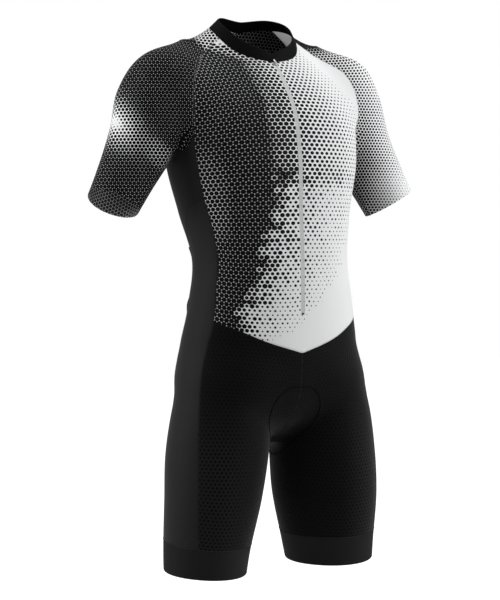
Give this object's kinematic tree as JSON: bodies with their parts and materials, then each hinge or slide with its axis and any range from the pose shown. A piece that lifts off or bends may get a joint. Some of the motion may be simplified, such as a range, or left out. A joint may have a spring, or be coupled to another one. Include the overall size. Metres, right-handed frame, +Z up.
{
  "type": "triathlon suit",
  "caption": "One-piece short-sleeved racing suit, filled out as worn, with a printed top, dark shorts, a centre-front zip and a seat pad.",
  "frame": {"origin": "in the middle of the neck opening, level with the foot of the neck, where the wearer's neck and shoulders hold the suit up", "axes": "+Z up along the body, -Y towards the front of the suit, +X towards the wearer's left"},
  "size_m": [0.6624, 0.254, 0.9765],
  "materials": {
    "collar_knit": "fine black rib knit",
    "printed_knit": "white knit printed with black dots",
    "black_knit": "smooth matt black knit",
    "dimpled_knit": "black knit with a raised cell texture",
    "pad_foam": "soft brushed foam pad",
    "zip_tape": "light grey woven tape and coil",
    "zip_metal": "satin silver",
    "zip_plastic": "moulded black"
  },
  "bodies": {
    "suit": {"collar": "collar_knit", "front_left": "printed_knit", "front_right": "printed_knit", "back": "printed_knit", "sleeve_left": "printed_knit", "sleeve_right": "printed_knit", "side_upper_left": "black_knit", "side_upper_right": "black_knit", "side_lower_left": "black_knit", "side_lower_right": "black_knit", "leg_band_left": "black_knit", "leg_band_right": "black_knit", "back_pocket": "black_knit", "shorts_front_left": "dimpled_knit", "shorts_front_right": "dimpled_knit", "shorts_back_left": "dimpled_knit", "shorts_back_right": "dimpled_knit", "seat_pad": "pad_foam", "zip_strip": "zip_tape", "zip_slider": "zip_metal", "zip_stop": "zip_plastic"},
    "pull": {"zip_pull": "zip_metal"}
  },
  "joints": [
    {"name": "pull_swing", "type": "hinge", "parent": "suit", "child": "pull", "pos_m": [0, -0.08554, -0.03967], "axis": [1, 0, 0], "range_deg": [0, 180]}
  ]
}
